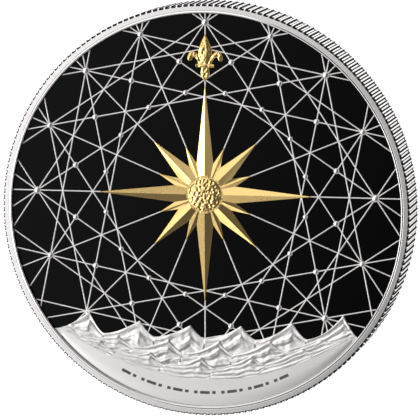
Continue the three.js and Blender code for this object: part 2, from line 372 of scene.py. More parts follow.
def slab(rows, foot_z):
    """Points and faces of a closed solid with a grid of points for its top and a flat foot."""
    height = len(rows)
    width = len(rows[0])
    points = [point for row in rows for point in row]
    faces = []
    for row in range(height - 1):
        for column in range(width - 1):
            corner = row * width + column
            faces.append([corner, corner + 1, corner + width + 1, corner + width])
    bottom = list(range(width))
    right = [row * width + width - 1 for row in range(1, height)]
    top = [(height - 1) * width + column for column in range(width - 2, -1, -1)]
    left = [row * width for row in range(height - 2, 0, -1)]
    outline = bottom + right + top + left
    first = len(points)
    points.extend((points[corner][0], points[corner][1], foot_z) for corner in outline)
    count = len(outline)
    for i in range(count):
        after = (i + 1) % count
        faces.append([outline[i], first + i, first + after, outline[after]])
    faces.append([first + i for i in reversed(range(count))])
    return points, faces


def merged(parts):
    """Several lots of points and faces as one."""
    points = []
    faces = []
    for more_points, more_faces in parts:
        first = len(points)
        points.extend(more_points)
        faces.extend([first + corner for corner in face] for face in more_faces)
    return points, faces


def hammer_mark(x, y, pitch):
    """How deep the hammered surface is at a place, from 0 between marks to 1 in the middle of one."""
    mark_radius = 0.62
    distances, _ = noise.voronoi(Vector((x / pitch, y / pitch, 0)))
    return max(0.0, 1 - (distances[0] / mark_radius) ** 2)


# Small tools for node trees

class NodeTree:
    """Adds nodes to a tree and links them, so that a recipe reads from top to bottom."""

    def __init__(self, tree):
        self.tree = tree

    def add(self, kind, values=None, **settings):
        node = self.tree.nodes.new(kind)
        for setting, value in settings.items():
            setattr(node, setting, value)
        for socket, value in (values or {}).items():
            if isinstance(value, bpy.types.NodeSocket):
                self.tree.links.new(value, node.inputs[socket])
            else:
                node.inputs[socket].default_value = value
        return node

    def math(self, operation, first, second=0.0, clamp=False):
        node = self.add("ShaderNodeMath", {0: first, 1: second}, operation=operation, use_clamp=clamp)
        return node.outputs[0]

    def socket(self, name, kind, direction="INPUT", default=None):
        socket = self.tree.interface.new_socket(name=name, in_out=direction, socket_type=kind)
        if default is not None:
            socket.default_value = default


def geometry_tree(name, inputs):
    """A geometry tree with the given inputs, its builder, its group input and its group output."""
    tree = bpy.data.node_groups.new(name, "GeometryNodeTree")
    build = NodeTree(tree)
    build.socket("Geometry", "NodeSocketGeometry")
    for socket, kind in inputs:
        build.socket(socket, kind)
    build.socket("Geometry", "NodeSocketGeometry", "OUTPUT")
    return tree, build, build.add("NodeGroupInput"), build.add("NodeGroupOutput")


def finish_tree(build, result, geometry, material):
    """End a tree in Realize Instances and Set Material."""
    real = build.add("GeometryNodeRealizeInstances", {"Geometry": geometry})
    painted = build.add("GeometryNodeSetMaterial", {"Geometry": real.outputs[0], "Material": material})
    build.tree.links.new(painted.outputs[0], result.inputs[0])


def run_tree(piece, tree, values):
    """Run a geometry tree on a piece with values by socket name, and keep the plain mesh."""
    modifier = piece.modifiers.new(tree.name, "NODES")
    modifier.node_group = tree
    sockets = {item.name: item.identifier for item in tree.interface.items_tree if item.in_out == "INPUT"}
    for name, value in values.items():
        modifier[sockets[name]] = value
    settle(piece)


# Shader groups shared by the finishes

def shader_group(name, inputs, outputs):
    """A shader group with the given sockets, its builder, and the sockets inside it."""
    tree = bpy.data.node_groups.new(name, "ShaderNodeTree")
    build = NodeTree(tree)
    for socket, kind, default in inputs:
        build.socket(socket, kind, default=default)
    for socket, kind in outputs:
        build.socket(socket, kind, "OUTPUT")
    return tree, build, build.add("NodeGroupInput").outputs, build.add("NodeGroupOutput").inputs


def grain_group():
    """Fine grain as on blasted or struck metal: a height, and a slow drift of tone."""
    tree, build, given, result = shader_group(
        "Metal Grain",
        [("Vector", "NodeSocketVector", None), ("Grain Scale", "NodeSocketFloat", 9000.0),
         ("Drift Scale", "NodeSocketFloat", 130.0)],
        [("Height", "NodeSocketFloat"), ("Drift", "NodeSocketFloat")])
    grain = build.add("ShaderNodeTexNoise", {
        "Vector": given["Vector"], "Scale": given["Grain Scale"], "Detail": 3.0, "Roughness": 0.6})
    drift = build.add("ShaderNodeTexNoise", {
        "Vector": given["Vector"], "Scale": given["Drift Scale"], "Detail": 4.0, "Roughness": 0.55})
    tree.links.new(grain.outputs["Fac"], result["Height"])
    tree.links.new(drift.outputs["Fac"], result["Drift"])
    return tree


def tone_group():
    """A colour that drifts between two tones, and a roughness that drifts with it."""
    tree, build, given, result = shader_group(
        "Drifting Tone",
        [("Drift", "NodeSocketFloat", 0.5), ("Dull Color", "NodeSocketColor", None),
         ("Clear Color", "NodeSocketColor", None), ("Roughness", "NodeSocketFloat", 0.3),
         ("Spread", "NodeSocketFloat", 0.1)],
        [("Color", "NodeSocketColor"), ("Roughness", "NodeSocketFloat")])
    share = build.add("ShaderNodeMapRange", {"Value": given["Drift"], "From Min": 0.35, "From Max": 0.65})
    colour = build.add("ShaderNodeMix", {
        "Factor": share.outputs["Result"], 6: given["Dull Color"], 7: given["Clear Color"]},
        data_type="RGBA")
    centred = build.math("SUBTRACT", given["Drift"], 0.5)
    swing = build.math("MULTIPLY", centred, given["Spread"])
    rough = build.math("ADD", given["Roughness"], swing, clamp=True)
    tree.links.new(colour.outputs[2], result["Color"])
    tree.links.new(rough, result["Roughness"])
    return tree


def hammer_group():
    """Round hammer marks as a height."""
    tree, build, given, result = shader_group(
        "Hammer Marks",
        [("Vector", "NodeSocketVector", None), ("Scale", "NodeSocketFloat", 6000.0)],
        [("Height", "NodeSocketFloat")])
    cells = build.add("ShaderNodeTexVoronoi", {
        "Vector": given["Vector"], "Scale": given["Scale"]}, feature="SMOOTH_F1")
    tree.links.new(cells.outputs["Distance"], result["Height"])
    return tree


def scratch_group():
    """Long faint handling marks as a height, from noise drawn out along one direction."""
    tree, build, given, result = shader_group(
        "Handling Marks",
        [("Vector", "NodeSocketVector", None), ("Turn", "NodeSocketVector", None),
         ("Scale", "NodeSocketFloat", 900.0)],
        [("Height", "NodeSocketFloat")])
    drawn = build.add("ShaderNodeMapping", {
        "Vector": given["Vector"], "Rotation": given["Turn"], "Scale": (1.0, 22.0, 1.0)})
    marks = build.add("ShaderNodeTexNoise", {
        "Vector": drawn.outputs[0], "Scale": given["Scale"], "Detail": 2.0, "Roughness": 0.5})
    tree.links.new(marks.outputs["Fac"], result["Height"])
    return tree


def shared_group(name):
    """A shader group by name, made the first time it is asked for."""
    makers = {
        "Metal Grain": grain_group, "Drifting Tone": tone_group, "Hammer Marks": hammer_group,
        "Handling Marks": scratch_group}
    return bpy.data.node_groups.get(name) or makers[name]()


# Finishes

def dimmed(colour, share):
    """A colour at a share of its strength, with its alpha."""
    return (colour[0] * share, colour[1] * share, colour[2] * share, 1.0)


class Metal:
    """A finish with drifting tone and fine grain, to which a recipe may add more."""

    def __init__(self, name, colour, dull, roughness, spread, grain_scale, grain_strength, metallic=1.0):
        self.material = bpy.data.materials.new(name)
        self.material.use_nodes = True
        tree = self.material.node_tree
        self.build = NodeTree(tree)
        self.sockets = tree.nodes["Principled BSDF"].inputs
        self.sockets["Metallic"].default_value = metallic
        self.place = self.build.add("ShaderNodeTexCoord").outputs["Object"]
        grain = self.group("Metal Grain", {"Vector": self.place, "Grain Scale": grain_scale})
        self.tone = self.group("Drifting Tone", {
            "Drift": grain["Drift"], "Dull Color": dimmed(colour, dull), "Clear Color": dimmed(colour, 1.0),
            "Roughness": roughness, "Spread": spread})
        self.feed("Base Color", self.tone["Color"])
        self.feed("Roughness", self.tone["Roughness"])
        self.normal = self.build.add("ShaderNodeBump", {
            "Strength": grain_strength, "Distance": 0.01 * MM, "Height": grain["Height"]}).outputs["Normal"]
        self.feed("Normal", self.normal)

    def group(self, name, values):
        """The outputs of a shared group placed in this finish with its own values."""
        return self.build.add("ShaderNodeGroup", values, node_tree=shared_group(name)).outputs

    def feed(self, socket, value):
        """Link a value that changes over the surface to one of the shader's sockets."""
        self.build.tree.links.new(value, self.sockets[socket])

    def raise_by(self, height, strength, distance):
        """Add a height on top of the grain."""
        bump = self.build.add("ShaderNodeBump", {
            "Strength": strength, "Distance": distance, "Height": height, "Normal": self.normal})
        self.feed("Normal", bump.outputs["Normal"])


def polished_silver(finishes):
    """The rim and the reeded edge: mirror-like, with handling marks, and painted shade in the grooves, where
    the silver turns dull black.
    """
    metal = Metal(
        "Polished silver", finishes.silver, dull=0.97, roughness=0.15, spread=0.1,
        grain_scale=7000.0, grain_strength=0.1)
    marks = metal.group("Handling Marks", {"Vector": metal.place, "Turn": (0.0, 0.0, 0.6)})
    metal.raise_by(marks["Height"], 0.08, 0.01 * MM)
    # Painted shade: where the groove attribute is high, the silver turns to dull black in place of the shade
    # and dark reflections in the grooves
    unshaded = 0.08
    fully_shaded = 0.35
    groove = metal.build.add("ShaderNodeAttribute", attribute_name="groove")
    painted_shade = metal.build.add("ShaderNodeMapRange", {
        "Value": groove.outputs["Fac"], "From Min": unshaded, "From Max": fully_shaded}).outputs["Result"]
    mixed = metal.build.add("ShaderNodeMix", {
        "Factor": painted_shade, 6: metal.tone["Color"], 7: (*finishes.groove, 1.0)}, data_type="RGBA")
    metal.feed("Base Color", mixed.outputs[2])
    metal.feed("Metallic", metal.build.math("SUBTRACT", 1.0, painted_shade))
    metal.feed("Roughness", metal.build.math("MAXIMUM", metal.tone["Roughness"], painted_shade))
    metal.sockets["Specular IOR Level"].default_value = 0.12
    return metal.material


def bright_silver(finishes):
    """The raised lines."""
    return Metal(
        "Bright silver", finishes.silver, dull=0.97, roughness=0.42, spread=0.1,
        grain_scale=9000.0, grain_strength=0.2).material


def bead_silver(finishes):
    """The beads, polished like drops."""
    return Metal(
        "Polished beads", finishes.silver, dull=0.98, roughness=0.26, spread=0.06,
        grain_scale=9000.0, grain_strength=0.06).material


def frosted_silver(finishes):
    """The sea: blasted silver with a fine sparkle of grain."""
    return Metal(
        "Frosted silver", finishes.frosted, dull=0.94, roughness=0.38, spread=0.16,
        grain_scale=11000.0, grain_strength=0.9).material


def satin_silver(finishes):
    """The smooth edge under the sea."""
    return Metal(
        "Satin silver", finishes.frosted, dull=0.97, roughness=0.34, spread=0.1,
        grain_scale=9000.0, grain_strength=0.35).material


def painted_shade_silver(finishes):
    """The inside of the marks: silver with painted shade, a dark colour in place of the shade and dark
    reflections in the recesses.
    """
    return Metal(
        "Silver with painted shade", dimmed(finishes.silver, 0.16), dull=0.8, roughness=0.4, spread=0.1,
        grain_scale=9000.0, grain_strength=0.5).material


def black_finish(finishes):
    """Black plating with a low sheen."""
    metal = Metal(
        "Black plating", finishes.black, dull=0.7, roughness=0.12, spread=0.06,
        grain_scale=6000.0, grain_strength=0.05, metallic=0.0)
    metal.sockets["Specular IOR Level"].default_value = 0.1
    return metal.material


def gilding(finishes):
    """Bright gilding for the polished slopes of the points."""
    return Metal(
        "Gilding", finishes.gold, dull=0.94, roughness=0.15, spread=0.1,
        grain_scale=8000.0, grain_strength=0.15).material


def engraved_gilding(finishes):
    """Gilding with fine lines engraved across each point, read from the slope's own map."""
    metal = Metal(
        "Engraved gilding", finishes.gold, dull=0.86, roughness=0.28, spread=0.12,
        grain_scale=9000.0, grain_strength=0.25)
    place = metal.build.add("ShaderNodeUVMap", uv_map="slope")
    lines = metal.build.add("ShaderNodeTexWave", {
        "Vector": place.outputs["UV"], "Scale": 1.1, "Distortion": 0.0}, bands_direction="X")
    metal.raise_by(lines.outputs["Fac"], 0.3, 0.03 * MM)
    return metal.material


def hammered_gilding(finishes):
    """Gilding beaten all over, with small marks between the large ones of the mesh."""
    metal = Metal(
        "Hammered gilding", finishes.gold, dull=0.85, roughness=0.14, spread=0.1,
        grain_scale=8000.0, grain_strength=0.15)
    marks = metal.group("Hammer Marks", {"Vector": metal.place, "Scale": 7500.0})
    metal.raise_by(marks["Height"], 0.5, 0.03 * MM)
    return metal.material


def finish(name):
    """A finish by name, made the first time it is asked for."""
    makers = {
        "Polished silver": polished_silver, "Bright silver": bright_silver, "Polished beads": bead_silver,
        "Frosted silver": frosted_silver, "Satin silver": satin_silver,
        "Silver with painted shade": painted_shade_silver, "Black plating": black_finish, "Gilding": gilding,
        "Engraved gilding": engraved_gilding, "Hammered gilding": hammered_gilding}
    return bpy.data.materials.get(name) or makers[name](bpy.context.scene.coin_finishes)


# The blank

# The painted shade at the ends of the grooves fades out at this many times their length
PAINTED_SHADE_FADE = 1.3

# A groove's slopes are where the cosine of the reeds' phase lies between this value and its negative
REED_SLOPE = 0.6

# The painted shade in the grooves fades in between these distances from the edge, in widths of the bevel
SHADE_PAINT_START = 1.4
SHADE_PAINT_FULL = 1.25

# How quickly the painted shade on a groove's slopes fades at their top and bottom
SLOPE_SHADE_PAINT = 8.0


def blank_profile(sizes):
    """The blank from the middle of the reverse, out round the edge and in to the middle of the face."""
    top = COIN_THICKNESS
    wide = COIN_RADIUS
    bevel = sizes.bevel
    flat = wide - bevel
    field = sizes.field_radius
    soft = SOFT
    lip_foot = field + 1.5 * soft
    groove = lip_foot + sizes.lip_width
    back = sizes.reverse_depth
    reverse = [
        (0, back), (field - soft, back), (field + soft / 2, back - soft), (lip_foot, soft),
        (lip_foot + soft, 0), (flat - soft, 0), (flat, soft / 4),
    ]
    # The last two rings of the edge bound the painted shade at the grooves' ends
    foot_edge = [
        (flat + 0.55 * bevel, 0.4 * bevel), (wide - soft / 4, 0.9 * bevel), (wide, 1.4 * bevel),
        (wide, sizes.painted_shade_end), (wide, PAINTED_SHADE_FADE * sizes.painted_shade_end),
    ]
    head_edge = [(radius, top - height) for radius, height in reversed(foot_edge)]
    rim = [
        (flat, top - soft / 4), (flat - soft, top), (flat - 3 * soft, top), (groove + 2 * soft, top),
        (groove + 1.2 * soft, top), (groove + soft, top - soft / 5),
    ]
    lip = []
    steps = 12
    for i in range(steps + 1):
        share = i / steps
        height = math.sin(math.pi * share ** sizes.lip_lean)
        lip.append((groove - sizes.lip_width * share, top - sizes.groove_depth * (1 - height)))
    bowl = [
        (field + soft / 2, top - sizes.groove_depth - 2 * soft), (field, FIELD_Z + soft),
        (field - soft, FIELD_Z), (0, FIELD_Z),
    ]
    return reverse + foot_edge + [(wide, top / 2)] + head_edge + rim + lip + bowl


def reeding_tree():
    """Presses the edge's points in between the reeds, and stores where shade is painted in the grooves.

    The shade is painted on their slopes, and all across them near the two faces of the coin.
    """
    tree, build, given, result = geometry_tree("Reeded Edge", [
        ("Reeds", "NodeSocketInt"), ("Depth", "NodeSocketFloat"), ("Radius", "NodeSocketFloat"),
        ("Bevel", "NodeSocketFloat"), ("Middle Height", "NodeSocketFloat"),
        ("Painted Shade End", "NodeSocketFloat"), ("Material", "NodeSocketMaterial")])
    place = build.add("GeometryNodeInputPosition").outputs[0]
    parts = build.add("ShaderNodeSeparateXYZ", {0: place}).outputs
    angle = build.math("ARCTAN2", parts[1], parts[0])
    phase = build.math("MULTIPLY", angle, given.outputs["Reeds"])
    wave = build.math("COSINE", phase)
    hollow = build.add("ShaderNodeMapRange", {
        "Value": wave, "From Min": REED_SLOPE, "From Max": -REED_SLOPE})
    flat = build.add("ShaderNodeVectorMath", {0: place, 1: (1.0, 1.0, 0.0)}, operation="MULTIPLY").outputs[0]
    radius = build.add("ShaderNodeVectorMath", {0: flat}, operation="LENGTH").outputs["Value"]
    outward = build.add("ShaderNodeVectorMath", {0: flat}, operation="NORMALIZE").outputs[0]
    inside = build.math("SUBTRACT", given.outputs["Radius"], radius)
    bevels = build.math("DIVIDE", inside, given.outputs["Bevel"])
    share = build.add("ShaderNodeMapRange", {"Value": bevels, "From Min": 1.0, "From Max": 0.0})
    reached = build.add("ShaderNodeMapRange", {
        "Value": bevels, "From Min": SHADE_PAINT_START, "From Max": SHADE_PAINT_FULL})
    groove = build.math("MULTIPLY", hollow.outputs[0], share.outputs[0])
    press = build.math("MULTIPLY", groove, given.outputs["Depth"])
    inward = build.math("MULTIPLY", press, -1.0)
    move = build.add("ShaderNodeVectorMath", {0: outward, "Scale": inward}, operation="SCALE").outputs[0]
    other_side = build.math("SUBTRACT", 1.0, hollow.outputs[0])
    half_way = build.math("MULTIPLY", hollow.outputs[0], other_side)
    painted_flank_shade = build.math("MULTIPLY", half_way, SLOPE_SHADE_PAINT, clamp=True)
    off_middle = build.math("ABSOLUTE", build.math("SUBTRACT", parts[2], given.outputs["Middle Height"]))
    from_face = build.math("SUBTRACT", given.outputs["Middle Height"], off_middle)
    past_end = build.math("DIVIDE", from_face, given.outputs["Painted Shade End"])
    by_face = build.add("ShaderNodeMapRange", {"Value": past_end, "From Min": PAINTED_SHADE_FADE, "From Max": 1.0})
    end = build.math("MULTIPLY", hollow.outputs[0], by_face.outputs[0])
    # The painted shade: groove slopes, and whole grooves near the faces, faded in from the bevel and stored
    # as the groove attribute
    painted_shade = build.math("MULTIPLY", build.math("MAXIMUM", painted_flank_shade, end), reached.outputs[0])
    stored = build.add("GeometryNodeStoreNamedAttribute", {
        "Geometry": given.outputs[0], "Name": "groove", "Value": painted_shade})
    moved = build.add("GeometryNodeSetPosition", {"Geometry": stored.outputs[0], "Offset": move})
    finish_tree(build, result, moved.outputs[0], given.outputs["Material"])
    return tree


def make_blank(sizes):
    columns = sizes.reeds * sizes.reed_columns
    points, faces = turned(blank_profile(sizes), columns)
    piece = mesh_object("coin_blank", points, faces, [finish("Polished silver")])
    run_tree(piece, reeding_tree(), {
        "Reeds": sizes.reeds, "Depth": sizes.reed_depth, "Radius": COIN_RADIUS,
        "Bevel": sizes.bevel, "Middle Height": COIN_THICKNESS / 2,
        "Painted Shade End": sizes.painted_shade_end, "Material": finish("Polished silver")})
    shade(piece, 35)
    hand_over(piece, "polished_silver", "blank")


def make_plating(sizes):
    """The black plating, a thin layer that climbs a little way up the wall of the field."""
    edge = sizes.field_radius
    climb = RELIEF_Z + 4.5 * SOFT
    profile = [
        (0, FIELD_Z), (edge - SOFT, FIELD_Z), (edge, FIELD_Z + SOFT), (edge, climb), (edge - SOFT, climb),
        (edge - SOFT, RELIEF_Z + SOFT), (edge - 2 * SOFT, RELIEF_Z), (0, RELIEF_Z)]
    points, faces = turned(profile, 512)
    piece = mesh_object("black_plating", points, faces, [finish("Black plating")])
    shade(piece, 35)
    hand_over(piece, "black_field", "black_field")


# The chart

# The chords of the net join winds this many apart, and the rays start this far inside the rose's tips
CHORD_SPANS = (3, 5)
RAY_OVERLAP = 0.3 * MM

# A line may run on this far under the outline of the sea
SUNK_END = 0.2 * MM

# The sizes of the beads as shares of the large ones on the main winds
LESSER_BEAD = 0.82
MIDDLE_BEAD = 0.78
INNER_BEAD = 0.68


def wind_direction(steps):
    """The direction of a wind, counted clockwise from north."""
    angle = math.pi / 2 - FULL_TURN * steps / WINDS
    return Vector((math.cos(angle), math.sin(angle)))


def chart_point(steps, radius):
    """The place at a distance from the rose's middle along a wind."""
    return wind_direction(steps) * radius + Vector((0, ROSE_CENTRE_Y))


def reach(point, direction, radius):
    """How far along a ray from a point the circle of a given radius lies."""
    along = point.dot(direction)
    return -along + math.sqrt(along ** 2 - point.length_squared + radius ** 2)


def through(start, end, radius):
    """The line through two points, run out to a circle both ways."""
    direction = (end - start).normalized()
    return (start - direction * reach(start, -direction, radius),
            end + direction * reach(end, direction, radius))


def clear_of_sea(place, margin):
    """Whether a place lies above the outline of the sea by a margin, or beside the sea."""
    return abs(place.x) > SEA_HALF_WIDTH or place.y > row_top(GROUND_ROW, place.x) + margin


def above_sea(start, end):
    """The stretch of a line that isn't well under the sea, or nothing."""
    steps = 240
    places = [start.lerp(end, i / steps) for i in range(steps + 1)]
    kept = [place for place in places if clear_of_sea(place, -SUNK_END)]
    return (kept[0], kept[-1]) if len(kept) > 2 else None


def chart_segments(chart, rose):
    """Chords between every third and every fifth wind, and a ray along each wind from the rose out."""
    segments = []
    for apart in CHORD_SPANS:
        for wind in range(WINDS):
            start = chart_point(wind, chart.node_radius)
            end = chart_point(wind + apart, chart.node_radius)
            segments.append(through(start, end, chart.end_radius))
    lengths = [rose.cardinal_length, rose.lesser_length, rose.ordinal_length, rose.lesser_length]
    for wind in range(WINDS):
        start = chart_point(wind, lengths[wind % 4] - RAY_OVERLAP)
        direction = wind_direction(wind)
        segments.append((start, start + direction * reach(start, direction, chart.end_radius)))
    clear = [above_sea(start, end) for start, end in segments]
    return [segment for segment in clear if segment]


def line_tree():
    """Gives each line a low round section with a flat foot."""
    tree, build, given, result = geometry_tree("Chart Lines", [
        ("Line Width", "NodeSocketFloat"), ("Line Height", "NodeSocketFloat"),
        ("Material", "NodeSocketMaterial")])
    lines = build.add("GeometryNodeMeshToCurve", {"Mesh": given.outputs[0]})
    upright = build.add("GeometryNodeSetCurveNormal", {"Curve": lines.outputs[0]}, mode="Z_UP")
    arc = build.add("GeometryNodeCurveArc", {
        "Resolution": 9, "Radius": 1.0, "Start Angle": math.pi, "Sweep Angle": math.pi})
    closed = build.add("GeometryNodeSetSplineCyclic", {"Geometry": arc.outputs[0], "Cyclic": True})
    half = build.math("MULTIPLY", given.outputs["Line Width"], 0.5)
    size = build.add("ShaderNodeCombineXYZ", {0: half, 1: given.outputs["Line Height"], 2: 1.0})
    section = build.add("GeometryNodeTransform", {"Geometry": closed.outputs[0], "Scale": size.outputs[0]})
    swept = build.add("GeometryNodeCurveToMesh", {
        "Curve": upright.outputs[0], "Profile Curve": section.outputs[0], "Fill Caps": True})
    finish_tree(build, result, swept.outputs[0], given.outputs["Material"])
    return tree


def make_lines(chart, rose):
    """The raised silver lines, as one net."""
    points = []
    edges = []
    for start, end in chart_segments(chart, rose):
        edges.append((len(points), len(points) + 1))
        points.extend([(start.x, start.y, RELIEF_Z), (end.x, end.y, RELIEF_Z)])
    mesh = bpy.data.meshes.new("chart_lines")
    mesh.from_pydata(points, edges, [])
    piece = bpy.data.objects.new("chart_lines", mesh)
    bpy.context.scene.collection.objects.link(piece)
    run_tree(piece, line_tree(), {
        "Line Width": chart.line_width, "Line Height": chart.line_height,
        "Material": finish("Bright silver")})
    tidy_mesh(piece.data)
    shade(piece, 50)
    hand_over(piece, "bright_silver", "line_net")


def crossing_radius(node_radius, wide, apart):
    """How far out two like chords cross, where one is turned from the other by some winds."""
    return node_radius * math.cos(math.pi * wide / WINDS) / math.cos(math.pi * apart / WINDS)


def bead_places(chart):
    """Crossings that carry a bead, with its radius, apart from those under the sea or by the lily."""
    outer = chart.node_radius
    middle = crossing_radius(outer, CHORD_SPANS[1], 4)
    inner = crossing_radius(outer, CHORD_SPANS[1], 2)
    places = []
    for wind in range(WINDS):
        share = 1.0 if wind % 2 == 0 else LESSER_BEAD
        places.append((chart_point(wind, outer), chart.large_bead * share))
        places.append((chart_point(wind + 0.5, middle), chart.large_bead * MIDDLE_BEAD))
        places.append((chart_point(wind + 0.5, inner), chart.large_bead * INNER_BEAD))
    lily_low, lily_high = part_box("fleur_de_lis")
    kept = []
    for place, radius in places:
        by_lily = lily_low[0] < place.x < lily_high[0] and lily_low[1] < place.y < lily_high[1]
        if not by_lily and clear_of_sea(place, radius) and place.length < chart.end_radius - radius:
            kept.append((place, radius))
    return kept


def bead_tree():
    """Puts a dome with a flat foot on each point, as wide as the point's bead radius says."""
    tree, build, given, result = geometry_tree("Chart Beads", [
        ("Bead Height", "NodeSocketFloat"), ("Material", "NodeSocketMaterial")])
    ball = build.add("GeometryNodeMeshUVSphere", {"Segments": 20, "Rings": 12, "Radius": 1.0})
    place = build.add("GeometryNodeInputPosition").outputs[0]
    parts = build.add("ShaderNodeSeparateXYZ", {0: place}).outputs
    lifted = build.math("MAXIMUM", parts[2], 0.0)
    top = build.math("MULTIPLY", lifted, given.outputs["Bead Height"])
    flat = build.add("ShaderNodeCombineXYZ", {0: parts[0], 1: parts[1], 2: top})
    dome = build.add("GeometryNodeSetPosition", {"Geometry": ball.outputs[0], "Position": flat.outputs[0]})
    width = build.add("GeometryNodeInputNamedAttribute", {"Name": "bead_radius"}, data_type="FLOAT")
    beads = build.add("GeometryNodeInstanceOnPoints", {
        "Points": given.outputs[0], "Instance": dome.outputs[0], "Scale": width.outputs[0]})
    finish_tree(build, result, beads.outputs[0], given.outputs["Material"])
    return tree


def make_beads(chart):
    """The beads on the crossings."""
    places = bead_places(chart)
    mesh = bpy.data.meshes.new("chart_beads")
    mesh.from_pydata([(place.x, place.y, RELIEF_Z) for place, _ in places], [], [])
    radii = mesh.attributes.new("bead_radius", "FLOAT", "POINT")
    radii.data.foreach_set("value", [radius for _, radius in places])
    piece = bpy.data.objects.new("chart_beads", mesh)
    bpy.context.scene.collection.objects.link(piece)
    run_tree(piece, bead_tree(), {"Bead Height": chart.bead_height, "Material": finish("Polished beads")})
    tidy_mesh(piece.data)
    shade(piece, 50)
    hand_over(piece, "bright_silver", "line_net")


# The rose

def faceted_star(points, tip, waist, edge, peak, turn):
    """A star whose points have a ridge and two slopes, on a low upright edge.

    The slopes alternate between the first and the second finish.
    """
    spokes = 2 * points
    corners = [(0, 0, 0), (0, 0, peak)]
    for spoke in range(spokes):
        angle = turn + math.pi * spoke / points
        radius = tip if spoke % 2 == 0 else waist
        corners.append((radius * math.cos(angle), radius * math.sin(angle), 0))
        corners.append((radius * math.cos(angle), radius * math.sin(angle), edge))
    faces = []
    finishes = []
    for spoke in range(spokes):
        here = 2 + 2 * spoke
        after = 2 + 2 * ((spoke + 1) % spokes)
        faces.extend([[1, here + 1, after + 1], [here, after, after + 1, here + 1], [0, after, here]])
        finishes.extend([spoke % 2, 0, 0])
    return corners, faces, finishes


def map_slopes(mesh, points, turn):
    """A map on each star for the engraved lines, in tenths of a millimetre along the nearest point."""
    layer = mesh.uv_layers.new(name="slope")
    step = FULL_TURN / points
    for face in mesh.polygons:
        angle = math.atan2(face.center.y, face.center.x) - turn
        along = Matrix.Rotation(-(turn + step * round(angle / step)), 2)
        for loop in face.loop_indices:
            corner = mesh.vertices[mesh.loops[loop].vertex_index].co
            layer.data[loop].uv = (along @ corner.xy) / (0.1 * MM)


def star_object(name, points, tip, waist, edge, peak, turn):
    """A star of the rose, with its finishes and its map."""
    corners, faces, finishes = faceted_star(points, tip, waist, edge, peak, turn)
    piece = mesh_object(name, corners, faces, [finish("Gilding"), finish("Engraved gilding")], finishes)
    map_slopes(piece.data, points, turn)
    return piece


def drum_object(name, radius, low, high):
    """A plain round drum between two heights."""
    points, faces = turned([(0, low), (radius, low), (radius, high), (0, high)], 96)
    return mesh_object(name, points, faces, [finish("Gilding")])


def join_solids(base, others, operation):
    """Join or cut solids, in millimetres, because the join merges very near points."""
    grow = Matrix.Scale(WORK_SCALE, 4)
    for other in others:
        base.data.transform(grow)
        other.data.transform(grow)
        modifier = base.modifiers.new("Join", "BOOLEAN")
        modifier.object = other
        modifier.operation = operation
        modifier.solver = "MANIFOLD"
        settle(base)
        base.data.transform(grow.inverted())
        bpy.data.objects.remove(other)


def soften(piece, width):
    """Round off the sharp edges of a solid."""
    grow = Matrix.Scale(WORK_SCALE, 4)
    piece.data.transform(grow)
    bevel = piece.modifiers.new("Soft edges", "BEVEL")
    bevel.width = width * WORK_SCALE
    bevel.segments = 2
    bevel.limit_method = "ANGLE"
    bevel.angle_limit = math.radians(12)
    settle(piece)
    piece.data.transform(grow.inverted())


def level_shading(piece, sharp_angle):
    """Shade so that large faces look level, and only the narrow faces at their edges look round."""
    shade(piece, sharp_angle)
    level = piece.modifiers.new("Level shading", "WEIGHTED_NORMAL")
    level.mode = "FACE_AREA"
    level.weight = 100
    level.keep_sharp = True
    settle(piece)


def make_rose(sizes):
    """Three stars of four, four and eight points, joined, and cut flat in the middle for the dome."""
    step = FULL_TURN / WINDS
    north = math.pi / 2
    edge = sizes.edge_height
    seat = sizes.seat_height
    cardinal = star_object(
        "compass_points", 4, sizes.cardinal_length, sizes.cardinal_waist, edge, sizes.cardinal_ridge, north)
    ordinal = star_object(
        "ordinal", 4, sizes.ordinal_length, sizes.ordinal_waist, edge, sizes.ordinal_ridge, north + 2 * step)
    lesser = star_object(
        "lesser", 8, sizes.lesser_length, sizes.lesser_waist, edge, sizes.lesser_ridge, north + step)
    hub = drum_object("hub", sizes.hub_radius, 0, 1.1 * seat)
    above = drum_object("above", 1.02 * sizes.hub_radius, seat, 2 * seat)
    for star in (cardinal, ordinal, lesser):
        soften(star, sizes.edge_bevel)
    join_solids(cardinal, [ordinal, lesser, hub], "UNION")
    join_solids(cardinal, [above], "DIFFERENCE")
    cardinal.data.transform(Matrix.Translation((0, ROSE_CENTRE_Y, RELIEF_Z)))
    tidy_mesh(cardinal.data)
    level_shading(cardinal, 25)
    hand_over(cardinal, "gilding", "compass_rose")


def make_dome(sizes):
    """The hammered dome on the hub. Its marks fade out towards its foot."""
    rings = 44
    columns = 180
    height = sizes.dome_height
    faded = 0.4 * height
    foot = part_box("hub_boss")[0][2]
    profile = [(0, 0), (sizes.dome_radius, 0)]
    for i in range(1, rings):
        lean = math.pi / 2 * i / rings
        profile.append((sizes.dome_radius * math.cos(lean), height * math.sin(lean)))
    profile.append((0, height))
    points, faces = turned(profile, columns)
    beaten = []
    for x, y, z in points:
        rise = min(1.0, z / faded)
        dent = sizes.hammer_depth * hammer_mark(x, y, sizes.hammer_pitch)
        beaten.append((x, y + ROSE_CENTRE_Y, z + foot - rise * dent))
    piece = mesh_object("hub_dome", beaten, faces, [finish("Hammered gilding")])
    shade(piece, 60)
    hand_over(piece, "hammered_gilding", "hub_boss")


# The lily

# Half the width of the lily that lily_sides draws, how far its parts stand above or below the top that
# the frame gives (the middle petal, the foot, the band and two side petals), and its upright edge
LILY_HALF_WIDTH = 0.39
LILY_TOPS = (0.0, -0.03 * MM, 0.04 * MM, -0.01 * MM, -0.01 * MM)
LILY_EDGE = 0.1 * MM


def bezier(start, first, second, end, count):
    """Points along a cubic curve."""
    points = []
    for i in range(count + 1):
        t = i / count
        s = 1 - t
        points.append(
            Vector(start) * s ** 3 + Vector(first) * 3 * s * s * t + Vector(second) * 3 * s * t * t
            + Vector(end) * t ** 3)
    return points


